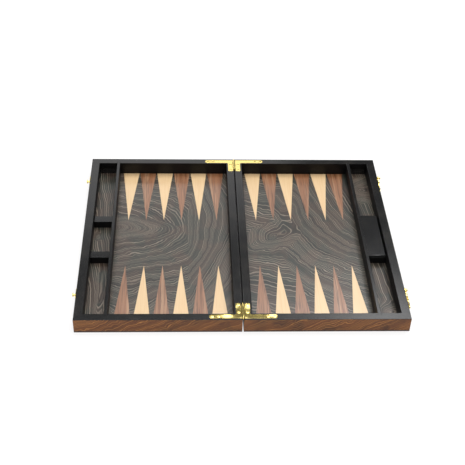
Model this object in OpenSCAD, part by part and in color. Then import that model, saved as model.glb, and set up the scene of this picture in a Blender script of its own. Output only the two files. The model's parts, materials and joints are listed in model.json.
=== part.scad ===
// Folding backgammon case, lying open: two trays on L-shaped corner hinges, inlaid points,
// storage racks with dividers, a loose lid and two swing-hook latches.
// The seam runs along Y at x = 0, the table is z = 0 and the hooks are on the right tray (+X).

/* [Board] */
// Width of the open board over both trays, without the latches
board_w = 600; // [560:5:680]
// Depth of the board from front to back
board_d = 480; // [440:5:520]
// Height of one tray
tray_h = 31; // [29:0.5:36]
// Gap between the two trays at the seam
seam_gap = 2.4; // [2:0.1:3.4]

/* [Walls] */
// Thickness of the front, back and hinge walls, with their veneer
wall_t = 15; // [14:0.5:18]
// Thickness of the outer wall of each tray, with its veneer
outer_wall_t = 16; // [14:0.5:18]
// Thickness of every veneer
veneer_t = 0.6; // [0.4:0.1:0.9]
// Thickness of the ply base panel
base_t = 2.8; // [2:0.1:4]

/* [Playing field] */
// Width of a point at its base
point_w = 33.4; // [28:0.1:34]
// Distance from one point to the next
point_pitch = 35.5; // [34.5:0.1:36]
// Length of a point
point_len = 157; // [120:1:180]

/* [Rack] */
// Clear width of the storage rack
rack_w = 37; // [32:0.5:38]
// Thickness of the long divider
divider_t = 6; // [5:0.5:7]
// Depth of the housings that hold the long divider
housing_d = 5; // [3:0.5:8]
// Distance of each cross-divider's middle from the middle of the board
cross_y = 53; // [45:1:70]
// Thickness of a cross-divider
cross_t = 17; // [12:0.5:20]
// Height of a cross-divider's top above the table
cross_top = 19.5; // [14:0.5:20]

/* [Lid] */
// Thickness of the compartment lid
lid_t = 4; // [3:0.5:5]
// Depth of the locating step under the lid
lid_step = 2; // [1:0.5:3]
// Gap around the locating step and along the long divider
lid_gap = 0.5; // [0.3:0.1:1]
// Gap between the lid and the outer wall
lid_finger_gap = 1.5; // [1:0.1:2]

/* [Hinges] */
// Thickness of a hinge leaf
leaf_t = 1.2; // [1:0.1:1.6]
// Width of the leaf's arm along the front or back wall
leaf_arm_w = 9.5; // [8:0.5:10]
// Reach of the leaf's arm from the seam
leaf_arm_reach = 61; // [50:1:75]
// Reach of the leaf's leg from the seam
leaf_leg_reach = 12.8; // [12:0.1:14]
// Length of the leaf's leg along the hinge wall
leaf_leg_len = 38.5; // [34:0.5:46]
// Length of the hinge barrel
barrel_len = 34; // [30:1:38]
// Outer radius of the knuckles
knuckle_r = 2.5; // [2.2:0.1:2.8]
// Radius of the hinge pin
pin_r = 1.2; // [1:0.1:1.3]

/* [Latches] */
// Distance of each latch from the middle of the board
latch_y = 169; // [140:1:185]
// Height of the latch pivots and studs above the table
latch_z = 24; // [23.5:0.1:24.4]
// Length of a latch plate
plate_len = 24; // [22:1:30]
// Height of a latch plate
plate_h = 11; // [10:0.5:11]
// Thickness of a latch plate
plate_t = 1; // [0.8:0.1:1]
// Length of the hook from its pivot to its tip
hook_len = 37; // [30:0.5:38]
// Thickness of the hook
hook_t = 2; // [1.6:0.1:2]
// Angle that the back hook hangs below the level
droop = 22; // [0:1:24]

/* [Hidden] */
$fn = 48;
sides = [-1, 1];
e = 0.01;                    // overshoot of a cut past a face
half_w = board_w / 2;
half_d = board_d / 2;
seam_x = seam_gap / 2;
panel_top = veneer_t + base_t;            // top of the base panel
floor_z = panel_top + veneer_t;           // playing surface
wall_h = tray_h - panel_top;
in_x0 = seam_x + wall_t;                  // field side of the hinge wall
in_x1 = half_w - outer_wall_t;            // rack side of the outer wall
in_y = half_d - wall_t;                   // inner face of the front and back walls
core_x = half_w - veneer_t;               // outer wall's face under its veneer
core_y = half_d - veneer_t;               // front and back walls' faces under their veneer
div_x1 = in_x1 - rack_w;                  // rack side of the long divider
div_x0 = div_x1 - divider_t;              // field side of the long divider
field_mid = (in_x0 + div_x0) / 2;

// hinge: the fold axis lies a little above the rims, so that they never rub
rim_gap = 0.5;                            // between the rims of the closed case
axis_z = tray_h + rim_gap / 2;
run = 0.4;                                // clearance around the turning knuckles
groove_r = knuckle_r + run;
bore_clear = 0.06;                        // radial clearance of the turning knuckles
knuckles = 5;
knuckle_gap = 0.2;
arm_mid = wall_t - 7;                     // arm's middle line from the wall's outer face
arm_y = half_d - arm_mid;
arm_y0 = arm_y - leaf_arm_w / 2;
arm_y1 = arm_y + leaf_arm_w / 2;
barrel_y1 = arm_y1 - 0.2;
barrel_y0 = barrel_y1 - barrel_len;
pin_ball_r = 1.4;                         // ball at the end of the front pin
pin_out = 4;                              // how far the ball stands out of the barrel
pin_sink = 1.5;                           // depth of the back pin in the barrel
groove_y0 = barrel_y0 - pin_out - run;
leg_y0 = arm_y1 - leaf_leg_len;
leg_mid = (groove_r + leaf_leg_reach) / 2;
leaf_end = 2;                             // corner radius at the leg's end
leaf_fillet = 3;                          // fillet between the leg and the arm
leaf_screws = [                           // two in the leg and two in the arm
    [leg_mid, leg_y0 + 4.5],
    [leg_mid, leg_y0 + 23.5],
    [leaf_arm_reach - 17, arm_y],
    [leaf_arm_reach - 5.5, arm_y]
];

// wood screws: head radius, shank radius, length
hinge_screw = [2.75, 1.2, 13];
plate_screw = [2, 1.1, 10];
screw_point = 1;                          // length of the pointed end
head_rise = 0.2;                          // crown of the head above its rim
cross_w = 0.5;                            // width and depth of the cross recess
cross_share = 0.6;                        // reach of the recess as a share of the head

// latch: each plate has its pivot or stud in the middle and a screw on each side
plate_screw_y = plate_len / 2 - 3.5;
plate_corner = 2;
shaft_r = 2;                              // stud or rivet, through the plate
root_r = 1.6;                             // part of a stud or rivet inside the wall
root_len = 10;
catch_reach = 2 * (axis_z - latch_z);     // pivot to stud when the case is closed
hook_lift = 0.3;                          // hook above its plate
joggle = 1.1;                             // how far the hook's arm steps outwards
notch_r = shaft_r + 0.3;
head_under = plate_t + hook_lift + hook_t + joggle + 0.8;
reach_out = 7.5;                          // how far the latches stand out of the case
stud_head_r = 4;
rivet_head = [3.6, 1.8];                  // radius and height
hub_r = 5;                                // hook around its pivot
neck_w = 6;                               // arm between the hub and the notch
cheek_w = 3.2;                            // metal around the notch
arm_w = 4.8;                              // arm beyond the notch, and the tail
arm_end_r = 3;
tail = 10.5;                              // pivot to the finger knob
pad_r = 4;                                // flat pad under the knob
knob_neck_r = 1.6;
knob_r = 3;

black = "#26262A";
walnut = "#7A5030";
walnut_light = "#A07A60";
maple = "#F3D3A2";
burl = "#5C554E";
ply = "#4A3424";
brass = "#D9C56A";

// Everything is drawn for the back of the right tray, and mirrored to the other places.
module at(side, end) {
    if (side > 0 && end > 0) children();
    else if (side > 0) mirror([0, 1, 0]) children();
    else if (end > 0) mirror([1, 0, 0]) children();
    else mirror([1, 0, 0]) mirror([0, 1, 0]) children();
}

// Box between two corners
module block(low, high) {
    translate(low) cube(high - low);
}

// Square with rounded corners, made of straight pieces and arcs
module round_rect(x0, y0, x1, y1, r) {
    translate([x0 + r, y0]) square([x1 - x0 - 2 * r, y1 - y0]);
    translate([x0, y0 + r]) square([x1 - x0, y1 - y0 - 2 * r]);
    for (x = [x0 + r, x1 - r], y = [y0 + r, y1 - r]) translate([x, y]) circle(r);
}

// ---- trays ----

// Wall core as a prism on the base panel
module prism(outline) {
    translate([0, 0, panel_top]) linear_extrude(wall_h) polygon(outline);
}

// Front or back wall, with the housing for the long divider and the hinge's cuts
module end_wall(side, end) {
    color(black) at(side, end) difference() {
        prism([[seam_x, core_y], [in_x0, in_y], [in_x1, in_y], [core_x, core_y]]);
        block([div_x0, in_y - 1, 0], [div_x1, in_y + housing_d, tray_h + 1]);
        hinge_cuts();
    }
}

module outer_wall(side) {
    color(black) at(side, 1) difference() {
        prism([[core_x, -core_y], [core_x, core_y], [in_x1, in_y], [in_x1, -in_y]]);
        for (end = sides) translate([half_w, end * latch_y, latch_z]) rotate([0, -90, 0]) {
            cylinder(r = root_r, h = root_len + e);
            for (y = [-1, 1] * plate_screw_y) translate([0, y, 0])
                cylinder(r = plate_screw[1], h = plate_screw[2] - plate_t);
        }
    }
}

module hinge_wall(side) {
    color(black) at(side, 1) difference() {
        prism([[seam_x, -core_y], [in_x0, -in_y], [in_x0, in_y], [seam_x, core_y]]);
        for (end = sides) at(1, end) hinge_cuts();
    }
}

module base_panel(side) {
    color(ply) at(side, 1) block([seam_x, -half_d, veneer_t], [half_w, half_d, panel_top]);
}

module base_veneer(side) {
    color(walnut) at(side, 1) block([seam_x, -half_d, 0], [half_w, half_d, veneer_t]);
}

module end_veneer(side, end) {
    color(walnut) at(side, end) block([seam_x, core_y, panel_top], [half_w, half_d, tray_h]);
}

module outer_veneer(side) {
    color(walnut) at(side, 1) difference() {
        block([core_x, -core_y, panel_top], [half_w, core_y, tray_h]);
        for (end = sides) translate([half_w + 1, end * latch_y, latch_z]) rotate([0, -90, 0]) {
            cylinder(r = root_r, h = 3);
            for (y = [-1, 1] * plate_screw_y) translate([0, y, 0])
                cylinder(r = plate_screw[1], h = 3);
        }
    }
}

// Outline of point i of six, counted from the left, at the back of a tray
module point_outline(side, i) {
    x = side * field_mid + (i - 2.5) * point_pitch;
    polygon([[x - point_w / 2, in_y], [x + point_w / 2, in_y], [x, in_y - point_len]]);
}

// The six points of one colour: at the back they start with the first or the second
// place, and the front row is the other way round.
module points(side, tint, first) {
    color(tint) translate([0, 0, panel_top]) linear_extrude(veneer_t)
        for (i = [0 : 2 : 4]) {
            point_outline(side, i + first);
            mirror([0, 1]) point_outline(side, i + 1 - first);
        }
}

module field_veneer(side) {
    color(burl) translate([0, 0, panel_top]) linear_extrude(veneer_t) difference() {
        if (side > 0) translate([in_x0, -in_y]) square([div_x0 - in_x0, 2 * in_y]);
        else translate([-div_x0, -in_y]) square([div_x0 - in_x0, 2 * in_y]);
        for (i = [0 : 5]) {
            point_outline(side, i);
            mirror([0, 1]) point_outline(side, i);
        }
    }
}

module rack_veneer(side) {
    color(burl) at(side, 1) block([div_x1, -in_y, panel_top], [in_x1, in_y, floor_z]);
}

module long_divider(side) {
    ends = in_y + housing_d;
    color(black) at(side, 1) block([div_x0, -ends, panel_top], [div_x1, ends, tray_h]);
}

module cross_divider(side, end) {
    color(black) at(side, end) block(
        [div_x1, cross_y - cross_t / 2, floor_z],
        [in_x1, cross_y + cross_t / 2, cross_top]
    );
}

// Loose lid on the two cross-dividers of the right rack, with a step between them
module compartment_lid() {
    edge_y = cross_y + cross_t / 2 - lid_gap;
    step_y = cross_y - cross_t / 2 - lid_gap;
    x0 = div_x1 + lid_gap;
    x1 = in_x1 - lid_finger_gap;
    color(black) {
        block([x0, -edge_y, cross_top], [x1, edge_y, cross_top + lid_t]);
        block([x0 + 1, -step_y, cross_top - lid_step], [x1 - 1, step_y, cross_top + e]);
    }
}

// ---- hinges ----

// L-shaped outline of a leaf: a leg along the seam and an arm with a round end
module leaf_outline() {
    tip = leaf_arm_w / 2;
    translate([groove_r, leg_y0 + leaf_end])
        square([leaf_leg_reach - groove_r, arm_y1 - leg_y0 - leaf_end]);
    round_rect(groove_r, leg_y0, leaf_leg_reach, leg_y0 + 3 * leaf_end, leaf_end);
    translate([groove_r, arm_y0]) square([leaf_arm_reach - tip - groove_r, leaf_arm_w]);
    translate([leaf_arm_reach - tip, arm_y]) circle(tip);
    difference() {
        translate([leaf_leg_reach - e, arm_y0 - leaf_fillet]) square(leaf_fillet + e);
        translate([leaf_leg_reach + leaf_fillet, arm_y0 - leaf_fillet]) circle(leaf_fillet);
    }
}

// Turned body about the fold axis between two places along it
module about_axis(y0, y1, r) {
    translate([0, y1, axis_z]) rotate([90, 0, 0]) cylinder(r = r, h = y1 - y0);
}

// What a wall loses for one hinge: the leaf's recess, the barrel's groove, the pilot holes
module hinge_cuts() {
    translate([0, 0, tray_h - leaf_t]) linear_extrude(leaf_t + 1) {
        leaf_outline();
        translate([0, groove_y0]) square([groove_r + e, arm_y1 - groove_y0]);
    }
    about_axis(groove_y0, barrel_y1 + run, groove_r);
    for (p = leaf_screws) translate([p[0], p[1], tray_h - hinge_screw[2]])
        cylinder(r = hinge_screw[1], h = hinge_screw[2]);
}

// Start and end of knuckle k along the axis
function knuckle_y0(k) = barrel_y0 + k * barrel_len / knuckles + (k > 0 ? knuckle_gap / 2 : 0);
function knuckle_y1(k) =
    barrel_y0 + (k + 1) * barrel_len / knuckles - (k < knuckles - 1 ? knuckle_gap / 2 : 0);

// The left leaf holds the pin in knuckles 0, 2 and 4; the right leaf turns on it
module hinge_leaf(side, end) {
    own = side < 0 ? [0, 2, 4] : [1, 3];
    bore = side < 0 ? pin_r : pin_r + bore_clear;
    color(brass) at(side, end) difference() {
        union() {
            translate([0, 0, tray_h - leaf_t]) linear_extrude(leaf_t) {
                leaf_outline();
                for (k = own) {
                    y1 = min(knuckle_y1(k), arm_y1);
                    translate([0, knuckle_y0(k)]) square([groove_r + e, y1 - knuckle_y0(k)]);
                }
            }
            for (k = own) about_axis(knuckle_y0(k), knuckle_y1(k), knuckle_r);
        }
        about_axis(barrel_y0 - 1, barrel_y1 + 1, bore);
        for (p = leaf_screws) translate([p[0], p[1], tray_h - leaf_t])
            cylinder(r1 = hinge_screw[1], r2 = hinge_screw[0], h = leaf_t);
    }
}

// The front pin ends in a small ball outside the barrel, the back one is sunk into it
module hinge_pin(end) {
    ball_y = barrel_y0 - pin_out + pin_ball_r;
    color(brass) at(1, end) {
        about_axis(end < 0 ? ball_y : barrel_y0 + pin_sink, barrel_y1, pin_r);
        if (end < 0) translate([0, ball_y, axis_z]) sphere(pin_ball_r);
    }
}

// Countersunk wood screw with a cross recess, the rim of its crowned head at z = 0
module screw(size, head_h) {
    difference() {
        union() {
            translate([0, 0, -e]) domed(size[0], head_rise + e, head_rise);
            translate([0, 0, -head_h]) cylinder(r1 = size[1], r2 = size[0], h = head_h);
            translate([0, 0, screw_point - size[2]])
                cylinder(r = size[1], h = size[2] - screw_point - head_h + e);
            translate([0, 0, -size[2]]) cylinder(r1 = 0.2, r2 = size[1], h = screw_point);
        }
        for (a = [0, 90]) rotate(a) translate([-size[0] * cross_share, -cross_w / 2, -cross_w])
            cube([2 * size[0] * cross_share, cross_w, cross_w + 1]);
    }
}

module hinge_screws(side) {
    color(brass) for (end = sides, p = leaf_screws) at(side, end)
        translate([p[0], p[1], tray_h]) screw(hinge_screw, leaf_t);
}

// ---- latches ----

// Puts a piece on the outer face of a tray, with its local Z pointing outwards,
// local X towards the back and local Y up
module on_side(side, end) {
    if (side > 0) translate([half_w, end * latch_y, latch_z]) rotate([90, 0, 90]) children();
    else mirror([1, 0, 0]) on_side(1, end) children();
}

module latch_plate(side, end) {
    color(brass) on_side(side, end) difference() {
        linear_extrude(plate_t)
            round_rect(-plate_len / 2, -plate_h / 2, plate_len / 2, plate_h / 2, plate_corner);
        translate([0, 0, -1]) cylinder(r = shaft_r, h = plate_t + 2);
        for (x = [-1, 1] * plate_screw_y) translate([x, 0, 0])
            cylinder(r1 = plate_screw[1], r2 = plate_screw[0], h = plate_t);
    }
}

module plate_screws(side) {
    color(brass) for (end = sides, x = [-1, 1] * plate_screw_y) on_side(side, end)
        translate([x, 0, plate_t]) screw(plate_screw, plate_t);
}

// Disc with a domed top
module domed(r, h, rise) {
    dome = (r * r + rise * rise) / (2 * rise);
    intersection() {
        cylinder(r = r, h = h);
        translate([0, 0, h - dome]) sphere(dome);
    }
}

// Root in the wall, shaft through the plate and domed head
module headed_shaft(under, head_r, head_h) {
    translate([0, 0, -root_len]) cylinder(r = root_r, h = root_len + e);
    cylinder(r = shaft_r, h = under + e);
    translate([0, 0, under]) domed(head_r, head_h, head_h / 2);
}

module catch_stud(end) {
    color(brass) on_side(-1, end) headed_shaft(head_under, stud_head_r, reach_out - head_under);
}

module hook_rivet(end) {
    under = plate_t + 2 * hook_lift + hook_t;
    color(brass) on_side(1, end) headed_shaft(under, rivet_head[0], rivet_head[1]);
}

// Hook seen from outside, its pivot at the origin and its arm along -X.
// The notch opens upwards on a circle about the pivot, so it swings onto the stud.
module hook_outline() {
    end_x = arm_end_r - hook_len;
    difference() {
        union() {
            circle(hub_r);
            translate([-catch_reach, -neck_w / 2]) square([catch_reach, neck_w]);
            translate([-catch_reach, 0]) circle(notch_r + cheek_w);
            translate([end_x, -arm_w / 2]) square([-catch_reach - end_x, arm_w]);
            translate([end_x, 0]) circle(arm_end_r);
            translate([0, -arm_w / 2]) square([tail, arm_w]);
            translate([tail, 0]) circle(pad_r);
        }
        translate([-catch_reach, 0]) circle(notch_r);
        intersection() {
            difference() {
                circle(catch_reach + notch_r);
                circle(catch_reach - notch_r);
            }
            translate([-catch_reach - 10, 0]) square([20, 10]);
        }
    }
}

// The hook is bent so that its arm passes over the catch plate
module hook(end, angle) {
    low = plate_t + hook_lift;
    knob_z = low + hook_t + 1;
    bend = [hub_r + 0.2, hub_r + 3.2];
    color(brass) on_side(1, end) rotate(angle) difference() {
        union() {
            intersection() {
                linear_extrude(reach_out) hook_outline();
                rotate([90, 0, 0]) linear_extrude(20, center = true) polygon([
                    [tail + pad_r + 1, low], [-bend[0], low], [-bend[1], low + joggle],
                    [-hook_len - 1, low + joggle], [-hook_len - 1, low + joggle + hook_t],
                    [-bend[1], low + joggle + hook_t], [-bend[0], low + hook_t],
                    [tail + pad_r + 1, low + hook_t]
                ]);
            }
            translate([tail, 0, low + hook_t - e]) cylinder(r = knob_neck_r, h = 2);
            translate([tail, 0, knob_z]) domed(knob_r, reach_out - knob_z, 1.2);
        }
        cylinder(r = shaft_r + bore_clear, h = reach_out);
    }
}

end_wall(-1, -1);  // left_front_wall
end_wall(-1, 1);  // left_back_wall
outer_wall(-1);  // left_outer_wall
hinge_wall(-1);  // left_hinge_wall
base_panel(-1);  // left_base_panel
base_veneer(-1);  // left_base_veneer
end_veneer(-1, -1);  // left_front_veneer
end_veneer(-1, 1);  // left_back_veneer
outer_veneer(-1);  // left_outer_veneer
field_veneer(-1);  // left_field_veneer
rack_veneer(-1);  // left_rack_veneer
points(-1, maple, 0);  // left_light_points
points(-1, walnut_light, 1);  // left_walnut_points
long_divider(-1);  // left_long_divider
cross_divider(-1, -1);  // left_front_cross_divider
cross_divider(-1, 1);  // left_back_cross_divider
end_wall(1, -1);  // right_front_wall
end_wall(1, 1);  // right_back_wall
outer_wall(1);  // right_outer_wall
hinge_wall(1);  // right_hinge_wall
base_panel(1);  // right_base_panel
base_veneer(1);  // right_base_veneer
end_veneer(1, -1);  // right_front_veneer
end_veneer(1, 1);  // right_back_veneer
outer_veneer(1);  // right_outer_veneer
field_veneer(1);  // right_field_veneer
rack_veneer(1);  // right_rack_veneer
points(1, maple, 0);  // right_light_points
points(1, walnut_light, 1);  // right_walnut_points
long_divider(1);  // right_long_divider
cross_divider(1, -1);  // right_front_cross_divider
cross_divider(1, 1);  // right_back_cross_divider
compartment_lid();
hinge_leaf(-1, -1);  // front_hinge_left_leaf
hinge_leaf(1, -1);  // front_hinge_right_leaf
hinge_pin(-1);  // front_hinge_pin
hinge_leaf(-1, 1);  // back_hinge_left_leaf
hinge_leaf(1, 1);  // back_hinge_right_leaf
hinge_pin(1);  // back_hinge_pin
hinge_screws(-1);  // left_hinge_screws
hinge_screws(1);  // right_hinge_screws
latch_plate(-1, -1);  // front_catch_plate
latch_plate(-1, 1);  // back_catch_plate
catch_stud(-1);  // front_catch_stud
catch_stud(1);  // back_catch_stud
plate_screws(-1);  // catch_plate_screws
latch_plate(1, -1);  // front_hook_plate
latch_plate(1, 1);  // back_hook_plate
hook(-1, 0);  // front_hook
hook(1, droop);  // back_hook
hook_rivet(-1);  // front_hook_rivet
hook_rivet(1);  // back_hook_rivet
plate_screws(1);  // hook_plate_screws
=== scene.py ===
"""Looks of a folding backgammon case lying open: eased woodwork, figured veneers and polished brass.

Laid out as an add-on and run as a script. Lengths are in metres unless a name says mm.
"""

import json
import math

import bmesh
import bpy
from bpy.props import FloatProperty, FloatVectorProperty, IntProperty, PointerProperty
from mathutils import Matrix, Vector

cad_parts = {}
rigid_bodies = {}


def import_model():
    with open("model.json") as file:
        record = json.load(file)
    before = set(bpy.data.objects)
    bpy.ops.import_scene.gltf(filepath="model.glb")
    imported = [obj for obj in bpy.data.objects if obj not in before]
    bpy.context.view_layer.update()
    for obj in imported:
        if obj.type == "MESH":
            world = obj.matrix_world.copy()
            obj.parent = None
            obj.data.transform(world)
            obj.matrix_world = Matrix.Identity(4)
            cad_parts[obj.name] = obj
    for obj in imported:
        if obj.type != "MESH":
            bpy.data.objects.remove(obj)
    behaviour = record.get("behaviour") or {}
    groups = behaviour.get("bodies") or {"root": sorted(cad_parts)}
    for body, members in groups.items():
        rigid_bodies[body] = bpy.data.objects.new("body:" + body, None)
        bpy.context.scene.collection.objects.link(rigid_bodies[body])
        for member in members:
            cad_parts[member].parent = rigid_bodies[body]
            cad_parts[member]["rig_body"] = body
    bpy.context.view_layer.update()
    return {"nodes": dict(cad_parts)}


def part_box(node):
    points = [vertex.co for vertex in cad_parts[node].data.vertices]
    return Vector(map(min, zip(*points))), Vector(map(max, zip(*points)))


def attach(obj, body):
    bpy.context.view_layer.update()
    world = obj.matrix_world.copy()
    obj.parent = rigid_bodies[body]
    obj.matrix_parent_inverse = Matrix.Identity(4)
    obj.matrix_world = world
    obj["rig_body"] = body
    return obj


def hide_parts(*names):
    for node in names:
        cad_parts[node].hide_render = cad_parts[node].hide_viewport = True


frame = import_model()

bl_info = {
    "name": "Backgammon Case",
    "version": (1, 0, 0),
    "blender": (4, 5, 0),
    "location": "View3D > Sidebar > Case",
    "description": "Finishes a folding backgammon case around its fixed frame",
    "category": "Object",
}

MM = 0.001
SIDES = ("left", "right")
ENDS = ("front", "back")
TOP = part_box("left_front_wall")[1].z
SKIN_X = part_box("right_outer_veneer")[0].x
SKIN_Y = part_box("right_back_veneer")[0].y
NEAR = 0.02 * MM

RELIEF = 0.05 * MM  # depth of the woods' grain and of the lacquer's orange peel
CORNER = math.radians(35)  # least angle between the faces at an arris
CREASE = math.radians(40)  # least angle that is shaded as a sharp edge
FLAT = math.radians(0.4)  # most that two faces of one plane differ
RIM_FACE = 40 * MM * MM  # least face beside a rim's arris
RIM_RUN = 20 * MM  # shortest rim arris
VENEER_RUN = 3 * MM  # shortest arris of an outer veneer
STRIPS = 5  # strips of the sheet across one tray's points

# Whorls of each figured veneer: centre x, y, radius along, radius across, in mm, turn in
# degrees and height in mm. The growth lines run round them.
FIELD_WHORLS = {
    "left": (
        (-262, 42, 520, 300, 0, 310),
        (-256, 44, 156, 40, -2, 120),
        (-5, -20, 95, 400, 0, -110),
        (-205, -175, 50, 90, 0, 40),
        (-110, -165, 40, 60, 8, 26),
    ),
    "right": (
        (262, 60, 185, 300, 0, 170),
        (65, 13, 72, 46, 42, 80),
        (118, 92, 24, 110, -6, -26),
    ),
}
FIELD_FLOWS = {"left": (0.0, 0.1, 0), "right": (0.15, 0.6, 0)}
FIELD_IOR = 1.62
RACK_WHORLS = {
    "left": ((-274, 19, 16, 10, 90, 26), (-262, -150, 90, 9, 90, 16)),
    "right": ((266, 168, 60, 46, 20, 90), (270, -196, 40, 30, 30, 55)),
}
RACK_FLOW = (1.0, 0.12, 0)
RACK_IOR = 1.48


def linear(code):
    """The linear colour of an sRGB hex code."""
    shares = [int(code[i:i + 2], 16) / 255 for i in (1, 3, 5)]
    return tuple(s / 12.92 if s <= 0.04045 else ((s + 0.055) / 1.055) ** 2.4 for s in shares)


def length(name, description, mm):
    """A length property, whose default is given in mm."""
    return FloatProperty(
        name=name, description=description, default=mm * MM, min=0.0, unit="LENGTH", precision=5)


def angle(name, description, degrees):
    return FloatProperty(
        name=name, description=description, default=math.radians(degrees), unit="ROTATION")


def plain(name, description, value):
    return FloatProperty(name=name, description=description, default=value)


def colour(name, description, code):
    return FloatVectorProperty(
        name=name, description=description, default=linear(code), size=3, subtype="COLOR",
        min=0.0, max=1.0)


class CaseEdges(bpy.types.PropertyGroup):
    """How far the edges of each kind of piece are eased."""

    rim: length("Rims", "Radius of the rims' and dividers' edges", 0.6)
    veneer: length("Veneers", "Radius of the outer veneers' top edges", 0.3)
    base: length("Base", "Radius of the base's lower edges", 0.3)
    inlay: length("Inlay", "Radius of the points' top edges", 0.08)
    lid: length("Lid", "Radius of the lid's top edges", 1.6)
    leaf: length("Hinge leaves", "Radius of the hinge leaves' edges", 0.22)
    latch: length("Latches", "Radius of the latch pieces' edges", 0.2)
    screw: length("Screws", "Radius of the edges of the screws' cross recesses", 0.06)
    steps: IntProperty(name="Steps", description="Faces across an edge", default=3, min=1)


class CaseColours(bpy.types.PropertyGroup):
    """Colours of the woods and the metal."""

    lacquer: colour("Lacquer", "Black lacquer", "#0C0C0D")
    lacquer_worn: colour("Worn lacquer", "Lacquer rubbed thin along the edges", "#1A1816")
    walnut: colour("Walnut", "Walnut between the growth lines", "#70401A")
    walnut_light: colour("Light walnut", "Walnut's early wood and curl", "#B87C3C")
    walnut_dark: colour("Dark walnut", "Walnut's late wood", "#331A08")
    point: colour("Walnut point", "Walnut of the points", "#865A3C")
    point_dark: colour("Dark streak", "Dark streaks in the walnut points", "#4C2A16")
    point_light: colour("Light streak", "Light streaks in the walnut points", "#A88364")
    maple: colour("Maple", "Maple of the light points", "#D2B489")
    maple_grain: colour("Maple grain", "Late wood of the light points", "#C39B6C")
    burl_warm: colour("Warm burl", "Burl's grey brown ground", "#3D3129")
    burl_green: colour("Green burl", "Burl's green grey ground", "#272B25")
    burl_dark: colour("Dark burl", "Burl's dark bands", "#0E0C0A")
    burl_line: colour("Burl lines", "Burl's light growth lines", "#8C8072")
    # This colours the base panel's edge, the strip along the case's foot, dark.
    ply: colour("Ply", "Stained edge of the base panel", "#3A2416")
    brass: colour("Brass", "Polished brass", "#F0DA88")
    floor: colour("Floor", "Studio floor", "#8C8C8C")


class CaseGrain(bpy.types.PropertyGroup):
    """Real sizes of the woods' figures."""

    burl_spacing: length("Burl lines", "Distance between the burl's growth lines", 4.0)
    walnut_spacing: length("Walnut lines", "Distance between the walnut's growth lines", 3.0)
    wander: length("Wander", "How far the growth lines wander", 15)
    wander_size: length("Wander size", "Size of the growth lines' large bends", 110)
    ripple: length("Ripple", "Depth of the growth lines' small bends", 9)
    ripple_size: length("Ripple size", "Size of the growth lines' small bends", 24)
    patch: length("Patches", "Size of the warm and green patches", 42)
    streak: length("Streaks", "Width of the streaks in the points", 1.8)
    streak_length: length("Streak length", "Length of the streaks in the points", 70)
    pore: length("Pores", "Width of the pores", 0.35)
    orange_peel: length("Orange peel", "Size of the ripples in the lacquer", 1.6)
    dent: length("Dents", "Size of the swells in the polished brass", 20)
    dent_depth: length("Dent depth", "Depth of the swells in the polished brass", 1.1)


class CaseStage(bpy.types.PropertyGroup):
    """Camera and studio."""

    camera: FloatVectorProperty(
        name="Camera", description="Place of the camera", size=3, unit="LENGTH",
        default=(-0.1016, -1.4564, 1.2615))
    pitch: angle("Pitch", "How far the camera looks down", 40.18)
    yaw: angle("Yaw", "How far the camera turns to the right", 3.56)
    roll: angle("Roll", "How far the camera leans to the left", 2.34)
    lens: plain("Lens", "Focal length on a 36 mm sensor", 75.72)
    key: plain("Key light", "Radiance of the softbox behind the case and to its right", 5.5)
    back: plain("Back light", "Radiance of the softbox high behind the case", 3.2)
    top: plain("Top light", "Radiance of the softbox over the case", 2.6)
    glow: plain("Glow", "Radiance of the low panel behind the case", 1.2)
    fill: plain("Fill", "Radiance of the softbox in front of the case", 2.0)
    room: plain("Room", "Radiance of the room around the lights", 0.2)
    table: plain("Table", "Radiance of the light table that the case lies on", 0.75)


def open_socket(sockets, key):
    """One of a node's sockets in use, by its name or its place."""
    in_use = [s for s in sockets if s.enabled]
    return in_use[key] if isinstance(key, int) else next(s for s in in_use if s.name == key)


def add(tree, kind, inputs, **settings):
    """Adds a node, makes its settings, and fills its inputs with values, sockets or nodes."""
    node = tree.nodes.new("ShaderNode" + kind)
    for name, value in settings.items():
        setattr(node, name, value)
    for key, value in inputs.items():
        if isinstance(value, bpy.types.Node):
            value = open_socket(value.outputs, 0)
        if isinstance(value, bpy.types.NodeSocket):
            tree.links.new(value, open_socket(node.inputs, key))
        else:
            open_socket(node.inputs, key).default_value = value
    return node


def surface(name, **finish):
    """A new material: its tree, its shader and a point of the piece in mm."""
    material = bpy.data.materials.new(name)
    material.use_nodes = True
    tree = material.node_tree
    shader = tree.nodes["Principled BSDF"]
    for socket, value in finish.items():
        shader.inputs[socket.replace("_", " ").title().replace("Ior", "IOR")].default_value = value
    place = tree.nodes.new("ShaderNodeTexCoord").outputs["Object"]
    mm = add(tree, "VectorMath", {0: place, "Scale": 1 / MM}, operation="SCALE")
    return material, tree, shader, mm


def rgba(colours):
    return (*colours, 1.0)


def figure(tree, mm, flow, whorls, grain, wander):
    """Height over a veneer, whose contours are its growth lines, and the bent place it is of."""
    bent = mm
    for size, depth, sideways, detail in (
        (grain.wander_size, wander, 1.0, 1.0),
        (grain.ripple_size, grain.ripple, 0.3, 2.0),
    ):
        noise = add(tree, "TexNoise", {"Vector": mm, "Scale": MM / size, "Detail": detail})
        centred = add(
            tree, "VectorMath", {0: noise.outputs["Color"], 1: (0.5, 0.5, 0.5)}, operation="SUBTRACT")
        reach = 2 * depth / MM
        bent = add(
            tree, "VectorMath", {0: centred, 1: (reach * sideways, reach, reach), 2: bent},
            operation="MULTIPLY_ADD")
    height = add(tree, "VectorMath", {0: bent, 1: flow}, operation="DOT_PRODUCT")
    for x, y, along, across, turn, rise in whorls:
        own = add(
            tree, "Mapping",
            {
                "Vector": bent,
                "Location": (x, y, 0),
                "Rotation": (0, 0, math.radians(turn)),
                "Scale": (along, across, 1 / MM),
            },
            vector_type="TEXTURE")
        cone = add(tree, "TexGradient", {"Vector": own}, gradient_type="SPHERICAL")
        height = add(
            tree, "Math", {0: cone.outputs["Fac"], 1: float(rise), 2: height},
            operation="MULTIPLY_ADD")
    return height, bent


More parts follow.
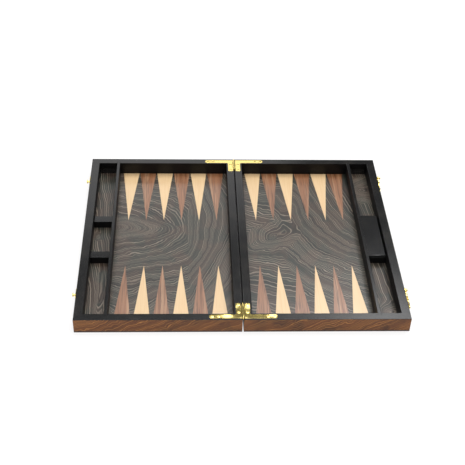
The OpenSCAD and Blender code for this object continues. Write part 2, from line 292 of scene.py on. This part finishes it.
def growth_lines(tree, height, spacing):
    """Light early wood and dark late wood along a figure's contours, each line of its own
    strength, and the count of lines."""
    count = add(tree, "Math", {0: height, 1: spacing / MM}, operation="DIVIDE")
    number = add(tree, "Math", {0: count}, operation="FLOOR")
    share = add(tree, "Math", {0: count}, operation="FRACT")
    lines = []
    for low, high, seed in ((0.4, 0.95, 0.0), (0.45, 0.0, 0.5)):
        own = add(tree, "Math", {0: number, 1: seed}, operation="ADD")
        strength = add(tree, "TexWhiteNoise", {"W": own}, noise_dimensions="1D")
        line = add(
            tree, "MapRange", {"Value": share, "From Min": low, "From Max": high},
            interpolation_type="SMOOTHSTEP")
        lines.append(add(
            tree, "Math", {0: line, 1: strength.outputs["Value"]}, operation="MULTIPLY"))
    return *lines, count


def black_lacquer():
    """Sprayed satin black lacquer on hardwood: the level faces are rubbed down and reflect
    softly, the upright ones are duller, with a faint orange peel and a little wear."""
    colours, grain = bpy.context.scene.case_colours, bpy.context.scene.case_grain
    material, tree, shader, mm = surface("satin_black_lacquer", ior=1.5)
    cloud = add(tree, "TexNoise", {"Vector": mm, "Scale": 1 / 35, "Detail": 4.0})
    worn = add(
        tree, "MapRange", {"Value": cloud, "From Min": 0.45, "From Max": 0.75},
        interpolation_type="SMOOTHSTEP")
    tint = add(
        tree, "Mix",
        {"Factor": worn, "A": rgba(colours.lacquer), "B": rgba(colours.lacquer_worn)},
        data_type="RGBA")
    facing = tree.nodes.new("ShaderNodeTexCoord").outputs["Normal"]
    level = add(tree, "Math", {0: add(tree, "SeparateXYZ", {"Vector": facing}).outputs["Z"]},
                operation="ABSOLUTE")
    rubbed = add(
        tree, "MapRange",
        {"Value": level, "From Min": 0.5, "From Max": 0.8, "To Min": 0.5, "To Max": 0.15})
    gloss = add(tree, "Math", {0: cloud, 1: 0.06, 2: rubbed}, operation="MULTIPLY_ADD")
    shine = add(
        tree, "MapRange",
        {"Value": level, "From Min": 0.5, "From Max": 0.8, "To Min": 0.2, "To Max": 0.5})
    peel = add(
        tree, "TexNoise", {"Vector": mm, "Scale": MM / grain.orange_peel, "Detail": 1.0})
    bump = add(tree, "Bump", {"Height": peel, "Strength": 0.12, "Distance": RELIEF})
    tree.links.new(open_socket(tint.outputs, 0), shader.inputs["Base Color"])
    tree.links.new(gloss.outputs["Value"], shader.inputs["Roughness"])
    tree.links.new(shine.outputs["Result"], shader.inputs["Specular IOR Level"])
    tree.links.new(bump.outputs["Normal"], shader.inputs["Normal"])
    return material


def burl_veneer(name, flow, whorls, wander, ior):
    """Dyed burl veneer under satin lacquer: light growth lines like the contours of a map on
    grounds that change from warm to green grey."""
    colours, grain = bpy.context.scene.case_colours, bpy.context.scene.case_grain
    material, tree, shader, mm = surface(name, roughness=0.3, ior=ior)
    height, bent = figure(tree, mm, flow, whorls, grain, wander)
    line, late, count = growth_lines(tree, height, grain.burl_spacing)
    cloud = add(
        tree, "TexNoise", {"Vector": bent, "Scale": MM / grain.patch, "Detail": 3.0})
    patch = add(
        tree, "MapRange", {"Value": cloud, "From Min": 0.42, "From Max": 0.58},
        interpolation_type="SMOOTHSTEP")
    ground = add(
        tree, "Mix",
        {"Factor": patch, "A": rgba(colours.burl_warm), "B": rgba(colours.burl_green)},
        data_type="RGBA")
    slow = add(tree, "Math", {0: count, 1: 0.23}, operation="MULTIPLY")
    beat = add(tree, "TexNoise", {"W": slow, "Scale": 1.0, "Detail": 1.0}, noise_dimensions="1D")
    band = add(
        tree, "MapRange",
        {"Value": beat, "From Min": 0.48, "From Max": 0.7, "To Max": 0.8},
        interpolation_type="SMOOTHSTEP")
    dark = add(tree, "Math", {0: band, 1: late}, operation="MAXIMUM")
    banded = add(
        tree, "Mix", {"Factor": dark, "A": ground, "B": rgba(colours.burl_dark)},
        data_type="RGBA")
    lined = add(
        tree, "Mix", {"Factor": line, "A": banded, "B": rgba(colours.burl_line)},
        data_type="RGBA")
    pores = add(tree, "TexNoise", {"Vector": mm, "Scale": MM / grain.pore, "Detail": 1.0})
    pitted = add(
        tree, "MapRange",
        {"Value": pores, "From Min": 0.3, "From Max": 0.5, "To Min": 0.75, "To Max": 1.0})
    speckled = add(
        tree, "Mix", {"Factor": 1.0, "A": lined, "B": pitted},
        data_type="RGBA", blend_type="MULTIPLY")
    bump = add(tree, "Bump", {"Height": line, "Strength": 0.15, "Distance": RELIEF})
    tree.links.new(open_socket(speckled.outputs, 0), shader.inputs["Base Color"])
    tree.links.new(bump.outputs["Normal"], shader.inputs["Normal"])
    return material


def walnut_veneer():
    """Figured walnut veneer under satin lacquer, its upper edge lacquered black with the rim:
    slanting growth lines and chevrons."""
    colours, grain = bpy.context.scene.case_colours, bpy.context.scene.case_grain
    material, tree, shader, mm = surface("satin_walnut_veneer", roughness=0.45, ior=1.4)
    height, bent = figure(tree, mm, (-0.4, -0.4, 0.8), (), grain, grain.wander)
    line, dark, _ = growth_lines(tree, height, grain.walnut_spacing)
    cloud = add(
        tree, "TexNoise", {"Vector": bent, "Scale": MM / grain.patch, "Detail": 3.0})
    patch = add(
        tree, "MapRange", {"Value": cloud, "From Min": 0.45, "From Max": 0.65, "To Max": 0.7},
        interpolation_type="SMOOTHSTEP")
    late = add(tree, "Math", {0: patch, 1: dark}, operation="MAXIMUM")
    ground = add(
        tree, "Mix",
        {"Factor": late, "A": rgba(colours.walnut), "B": rgba(colours.walnut_dark)},
        data_type="RGBA")
    lined = add(
        tree, "Mix", {"Factor": line, "A": ground, "B": rgba(colours.walnut_light)},
        data_type="RGBA")
    upright = add(tree, "SeparateXYZ", {"Vector": mm})
    rim = add(
        tree, "MapRange",
        {
            "Value": upright.outputs["Z"],
            "From Min": TOP / MM - 0.75,
            "From Max": TOP / MM - 0.6,
        })
    edged = add(
        tree, "Mix", {"Factor": rim, "A": lined, "B": rgba(colours.lacquer)},
        data_type="RGBA")
    bump = add(tree, "Bump", {"Height": line, "Strength": 0.15, "Distance": RELIEF})
    tree.links.new(open_socket(edged.outputs, 0), shader.inputs["Base Color"])
    tree.links.new(bump.outputs["Normal"], shader.inputs["Normal"])
    return material


def straight_grain(name, ground, dark, light, contrast):
    """Straight-grained veneer under satin lacquer: streaks along the points, in strips that
    come from different places in the sheet."""
    grain = bpy.context.scene.case_grain
    material, tree, shader, mm = surface(name, roughness=0.3, ior=1.8)
    axes = add(tree, "SeparateXYZ", {"Vector": mm})
    low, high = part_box("left_light_points")
    strip = (high.x - low.x) / MM / STRIPS
    number = add(tree, "Math", {0: axes.outputs["X"], 1: strip}, operation="DIVIDE")
    rank = add(tree, "Math", {0: number}, operation="FLOOR")
    row = add(tree, "Math", {0: axes.outputs["Y"]}, operation="SIGN")
    place = add(tree, "Math", {0: row, 1: 17.3, 2: rank}, operation="MULTIPLY_ADD")
    apart = add(tree, "CombineXYZ", {"X": 0.0, "Y": 0.0, "Z": place})
    shifted = add(
        tree, "VectorMath", {0: apart, 1: (0, 0, 31.7), 2: mm}, operation="MULTIPLY_ADD")
    along = add(
        tree, "VectorMath",
        {0: shifted, 1: (MM / grain.streak, MM / grain.streak_length, 0.21)},
        operation="MULTIPLY")
    streaks = add(
        tree, "TexNoise", {"Vector": along, "Scale": 1.0, "Detail": 4.0, "Distortion": 0.6})
    broad = add(tree, "TexNoise", {"Vector": along, "Scale": 0.25, "Detail": 2.0})
    darker = add(
        tree, "MapRange",
        {"Value": streaks, "From Min": 0.46, "From Max": 0.66, "To Max": contrast},
        interpolation_type="SMOOTHSTEP")
    lighter = add(
        tree, "MapRange",
        {"Value": broad, "From Min": 0.45, "From Max": 0.7, "To Max": contrast},
        interpolation_type="SMOOTHSTEP")
    toned = add(
        tree, "Mix", {"Factor": lighter, "A": rgba(ground), "B": rgba(light)}, data_type="RGBA")
    lined = add(tree, "Mix", {"Factor": darker, "A": toned, "B": rgba(dark)}, data_type="RGBA")
    bump = add(tree, "Bump", {"Height": streaks, "Strength": 0.1, "Distance": RELIEF})
    tree.links.new(open_socket(lined.outputs, 0), shader.inputs["Base Color"])
    tree.links.new(bump.outputs["Normal"], shader.inputs["Normal"])
    return material


def dark_ply():
    """Edge of birch ply, coloured dark, with the layers just showing."""
    colours = bpy.context.scene.case_colours
    material, tree, shader, mm = surface("dark_ply_edge", roughness=0.55, ior=1.5)
    layers = add(
        tree, "VectorMath", {0: mm, 1: (0.05, 0.05, 1.4)}, operation="MULTIPLY")
    noise = add(tree, "TexNoise", {"Vector": layers, "Scale": 1.0, "Detail": 3.0})
    shade = add(
        tree, "MapRange", {"Value": noise, "From Min": 0.3, "From Max": 0.7, "To Min": 0.55})
    tint = add(
        tree, "Mix", {"Factor": 1.0, "A": rgba(colours.ply), "B": shade},
        data_type="RGBA", blend_type="MULTIPLY")
    tree.links.new(open_socket(tint.outputs, 0), shader.inputs["Base Color"])
    return material


def polished_brass():
    """Stamped, polished and lacquered brass: bright yellow reflections, with a haze of fine
    polishing marks."""
    colours, grain = bpy.context.scene.case_colours, bpy.context.scene.case_grain
    material, tree, shader, mm = surface("polished_brass", metallic=1.0)
    shader.inputs["Base Color"].default_value = rgba(colours.brass)
    marks = add(
        tree, "VectorMath", {0: mm, 1: (0.5, 4.0, 4.0)}, operation="MULTIPLY")
    noise = add(tree, "TexNoise", {"Vector": marks, "Scale": 1.0, "Detail": 3.0})
    haze = add(tree, "MapRange", {"Value": noise, "To Min": 0.06, "To Max": 0.16})
    turned = add(tree, "VectorMath", {0: mm, 1: (-1.0, 1.0, 1.0)}, operation="MULTIPLY")
    swell = add(tree, "TexNoise", {"Vector": turned, "Scale": MM / grain.dent, "Detail": 0.0})
    buffed = add(tree, "Bump", {"Height": swell, "Strength": 1.0, "Distance": grain.dent_depth})
    scuffed = add(
        tree, "Bump",
        {"Height": noise, "Strength": 0.1, "Distance": 0.01 * MM, "Normal": buffed})
    tree.links.new(haze.outputs["Result"], shader.inputs["Roughness"])
    tree.links.new(scuffed.outputs["Normal"], shader.inputs["Normal"])
    return material


def finished(name, make):
    """The material of that name, made the first time that it is asked for."""
    return bpy.data.materials.get(name) or make()


def is_arris(edge, high=None):
    """True where two faces meet at an outward corner."""
    return edge.is_manifold and edge.is_convex and edge.calc_face_angle() > CORNER


def is_rim_arris(edge, high):
    """True for a long upper edge that no veneer and no brass covers."""
    middle = (edge.verts[0].co + edge.verts[1].co) / 2
    run = (edge.verts[0].co - edge.verts[1].co).normalized()
    square = max(abs(run.x), abs(run.y)) > 0.999
    covered = abs(middle.x) > SKIN_X - NEAR or abs(middle.y) > SKIN_Y - NEAR
    on_top = middle.z > high.z - NEAR
    deep = all(face.calc_area() > RIM_FACE for face in edge.link_faces)
    return is_arris(edge) and square and on_top and deep and not covered and (
        edge.calc_length() > RIM_RUN)


def is_top_arris(edge, high):
    """True for an arris at the very top of the piece."""
    return is_arris(edge) and all(v.co.z > high.z - NEAR for v in edge.verts)


def ease(node, radius, chosen, material):
    """The node's own shape with the chosen edges eased, as the piece that stands for it."""
    source = frame["nodes"][node]
    work = bmesh.new()
    work.from_mesh(source.data)
    bmesh.ops.remove_doubles(work, verts=work.verts, dist=NEAR / 10)
    bmesh.ops.dissolve_limit(
        work, angle_limit=FLAT, verts=work.verts, edges=work.edges)
    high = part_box(node)[1]
    edges = [edge for edge in work.edges if chosen(edge, high)]
    if not edges:
        raise RuntimeError(f"{node} has no edge to ease")
    bmesh.ops.bevel(
        work, geom=edges, offset=radius, offset_type="OFFSET", affect="EDGES",
        segments=bpy.context.scene.case_edges.steps, profile=0.5, material=-1,
        clamp_overlap=True)
    mesh = bpy.data.meshes.new(node + "_eased")
    work.to_mesh(mesh)
    work.free()
    mesh.shade_smooth()
    mesh.set_sharp_from_angle(angle=CREASE)
    mesh.materials.append(material)
    piece = bpy.data.objects.new(node + "_eased", mesh)
    bpy.context.scene.collection.objects.link(piece)
    normals = piece.modifiers.new("even shading", "WEIGHTED_NORMAL")
    normals.keep_sharp = True
    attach(piece, source["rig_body"])
    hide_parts(node)
    return piece


def repaint(node, material):
    """Gives a CAD node, whose shape is right as it is, its finish."""
    piece = frame["nodes"][node]
    piece.data.materials.clear()
    piece.data.materials.append(material)


class CASE_OT_woodwork(bpy.types.Operator):
    """Ease and lacquer the walls and dividers"""

    bl_idname = "backgammon_case.woodwork"
    bl_label = "Walls and Dividers"

    def execute(self, context):
        lacquer = finished("satin_black_lacquer", black_lacquer)
        radius = context.scene.case_edges.rim
        for side in SIDES:
            for part in (
                "front_wall", "back_wall", "outer_wall", "hinge_wall",
                "long_divider", "front_cross_divider", "back_cross_divider",
            ):
                ease(f"{side}_{part}", radius, is_rim_arris, lacquer)
        return {"FINISHED"}


class CASE_OT_outside(bpy.types.Operator):
    """Veneer the outside and colour the base panel dark"""

    bl_idname = "backgammon_case.outside"
    bl_label = "Outside Veneers and Base"

    def execute(self, context):
        edges = context.scene.case_edges
        walnut = finished("satin_walnut_veneer", walnut_veneer)
        ply = finished("dark_ply_edge", dark_ply)
        for side in SIDES:
            for part in ("front_veneer", "back_veneer", "outer_veneer"):
                ease(f"{side}_{part}", edges.veneer, self.is_outer_arris, walnut)
            ease(f"{side}_base_veneer", edges.base, self.is_foot_arris, walnut)
            repaint(f"{side}_base_panel", ply)
        return {"FINISHED"}

    @staticmethod
    def is_outer_arris(edge, high):
        middle = (edge.verts[0].co + edge.verts[1].co) / 2
        outside = abs(middle.x) > SKIN_X + NEAR or abs(middle.y) > SKIN_Y + NEAR
        on_top = middle.z > high.z - NEAR
        return is_arris(edge) and outside and on_top and edge.calc_length() > VENEER_RUN

    @staticmethod
    def is_foot_arris(edge, high):
        return is_arris(edge) and all(v.co.z < NEAR for v in edge.verts)


class CASE_OT_floors(bpy.types.Operator):
    """Lay the burl veneers of the fields and the racks"""

    bl_idname = "backgammon_case.floors"
    bl_label = "Fields and Racks"

    def execute(self, context):
        grain = context.scene.case_grain
        for side in SIDES:
            field = burl_veneer(
                f"{side}_burl_veneer", FIELD_FLOWS[side], FIELD_WHORLS[side], grain.wander,
                FIELD_IOR)
            rack = burl_veneer(
                f"{side}_rack_burl_veneer", RACK_FLOW, RACK_WHORLS[side], grain.wander / 3,
                RACK_IOR)
            repaint(f"{side}_field_veneer", field)
            repaint(f"{side}_rack_veneer", rack)
        return {"FINISHED"}


class CASE_OT_points(bpy.types.Operator):
    """Inlay the light and the walnut points"""

    bl_idname = "backgammon_case.points"
    bl_label = "Points"

    def execute(self, context):
        colours, radius = context.scene.case_colours, context.scene.case_edges.inlay
        maple = straight_grain(
            "maple_point_veneer", colours.maple, colours.maple_grain, colours.maple, 0.35)
        walnut = straight_grain(
            "walnut_point_veneer", colours.point, colours.point_dark, colours.point_light, 0.8)
        for side in SIDES:
            ease(f"{side}_light_points", radius, is_top_arris, maple)
            ease(f"{side}_walnut_points", radius, is_top_arris, walnut)
        return {"FINISHED"}


class CASE_OT_lid(bpy.types.Operator):
    """Ease and lacquer the compartment lid"""

    bl_idname = "backgammon_case.lid"
    bl_label = "Compartment Lid"

    def execute(self, context):
        lacquer = finished("satin_black_lacquer", black_lacquer)
        radius = context.scene.case_edges.lid
        ease("compartment_lid", radius, is_top_arris, lacquer)
        return {"FINISHED"}


class CASE_OT_hinges(bpy.types.Operator):
    """Polish the hinges and their screws"""

    bl_idname = "backgammon_case.hinges"
    bl_label = "Hinges"

    def execute(self, context):
        edges = context.scene.case_edges
        brass = finished("polished_brass", polished_brass)
        for end in ENDS:
            for side in SIDES:
                ease(f"{end}_hinge_{side}_leaf", edges.leaf, is_arris, brass)
            ease(f"{end}_hinge_pin", edges.leaf, is_arris, brass)
        for side in SIDES:
            ease(f"{side}_hinge_screws", edges.screw, is_arris, brass)
        return {"FINISHED"}


class CASE_OT_latches(bpy.types.Operator):
    """Polish the catches, the hooks and their screws"""

    bl_idname = "backgammon_case.latches"
    bl_label = "Latches"

    def execute(self, context):
        edges = context.scene.case_edges
        brass = finished("polished_brass", polished_brass)
        for end in ENDS:
            for part in ("catch_plate", "catch_stud", "hook_plate", "hook", "hook_rivet"):
                ease(f"{end}_{part}", edges.latch, is_arris, brass)
        for group in ("catch_plate_screws", "hook_plate_screws"):
            ease(group, edges.screw, is_arris, brass)
        return {"FINISHED"}


class CASE_OT_stage(bpy.types.Operator):
    """Set up the floor, the studio lights and the camera"""

    bl_idname = "backgammon_case.stage"
    bl_label = "Stage"

    def execute(self, context):
        stage = context.scene.case_stage
        self.lay_floor(context)
        self.light_room(context, stage)
        self.hang_softbox("key_softbox", 50, 60, 3.0, (2.2, 1.4), stage.key)
        self.hang_softbox("back_softbox", -15, 61, 3.0, (2.4, 0.9), stage.back)
        self.hang_softbox("top_softbox", 180, 82, 2.6, (2.6, 1.8), stage.top)
        self.hang_softbox("glow_panel", -10, 29, 3.4, (1.95, 1.3), stage.glow)
        self.hang_softbox("front_softbox", 200, 52, 3.2, (2.6, 1.4), stage.fill)
        self.set_camera(context, stage)
        context.scene.view_settings.view_transform = "Standard"
        return {"FINISHED"}

    def lay_floor(self, context):
        work = bmesh.new()
        bmesh.ops.create_grid(work, x_segments=1, y_segments=1, size=30)
        mesh = bpy.data.meshes.new("studio_floor")
        work.to_mesh(mesh)
        work.free()
        material, _, shader, _ = surface("studio_floor", roughness=0.9)
        shader.inputs["Base Color"].default_value = rgba(context.scene.case_colours.floor)
        shader.inputs["Specular IOR Level"].default_value = 0.0
        shader.inputs["Emission Color"].default_value = (1.0, 1.0, 1.0, 1.0)
        shader.inputs["Emission Strength"].default_value = context.scene.case_stage.table
        mesh.materials.append(material)
        floor = bpy.data.objects.new("studio_floor", mesh)
        context.scene.collection.objects.link(floor)

    def light_room(self, context, stage):
        world = bpy.data.worlds.new("studio_room")
        world.use_nodes = True
        background = world.node_tree.nodes["Background"]
        background.inputs["Color"].default_value = (1.0, 1.0, 1.0, 1.0)
        background.inputs["Strength"].default_value = stage.room
        context.scene.world = world

    def hang_softbox(self, name, azimuth, elevation, distance, size, radiance):
        """A softbox that faces the case. Azimuth is from straight behind it to the right."""
        heading, height = math.radians(azimuth), math.radians(elevation)
        direction = Vector((
            math.sin(heading) * math.cos(height),
            math.cos(heading) * math.cos(height),
            math.sin(height)))
        light = bpy.data.lights.new(name, "AREA")
        light.shape = "RECTANGLE"
        light.size, light.size_y = size
        light.energy = math.pi * size[0] * size[1] * radiance
        lamp = bpy.data.objects.new(name, light)
        turn = direction.to_track_quat("Z", "Y").to_matrix().to_4x4()
        lamp.matrix_world = Matrix.Translation(direction * distance) @ turn
        lamp.visible_camera = False
        bpy.context.scene.collection.objects.link(lamp)

    def set_camera(self, context, stage):
        camera = bpy.data.objects.new("camera", bpy.data.cameras.new("camera"))
        camera.data.lens = stage.lens
        camera.matrix_world = (
            Matrix.Translation(stage.camera)
            @ Matrix.Rotation(-stage.yaw, 4, "Z")
            @ Matrix.Rotation(math.radians(90) - stage.pitch, 4, "X")
            @ Matrix.Rotation(stage.roll, 4, "Z"))
        context.scene.collection.objects.link(camera)
        context.scene.camera = camera


class CASE_PT_panel(bpy.types.Panel):
    """Sizes, colours and steps of the backgammon case"""

    bl_idname = "CASE_PT_panel"
    bl_label = "Backgammon Case"
    bl_space_type = "VIEW_3D"
    bl_region_type = "UI"
    bl_category = "Case"

    def draw(self, context):
        for operator in OPERATORS:
            self.layout.operator(operator.bl_idname)
        for group in (context.scene.case_edges, context.scene.case_colours,
                      context.scene.case_grain, context.scene.case_stage):
            box = self.layout.box()
            for name in group.__annotations__:
                box.prop(group, name)


GROUPS = {
    "case_edges": CaseEdges,
    "case_colours": CaseColours,
    "case_grain": CaseGrain,
    "case_stage": CaseStage,
}
OPERATORS = (
    CASE_OT_woodwork,
    CASE_OT_outside,
    CASE_OT_floors,
    CASE_OT_points,
    CASE_OT_lid,
    CASE_OT_hinges,
    CASE_OT_latches,
    CASE_OT_stage,
)


def register():
    for item in (*GROUPS.values(), *OPERATORS, CASE_PT_panel):
        bpy.utils.register_class(item)
    for name, group in GROUPS.items():
        setattr(bpy.types.Scene, name, PointerProperty(type=group))


def unregister():
    for name in GROUPS:
        delattr(bpy.types.Scene, name)
    for item in (CASE_PT_panel, *reversed(OPERATORS), *GROUPS.values()):
        bpy.utils.unregister_class(item)


def main():
    register()
    for operator in OPERATORS:
        area, action = operator.bl_idname.split(".")
        getattr(getattr(bpy.ops, area), action)()


if __name__ == "__main__":
    main()
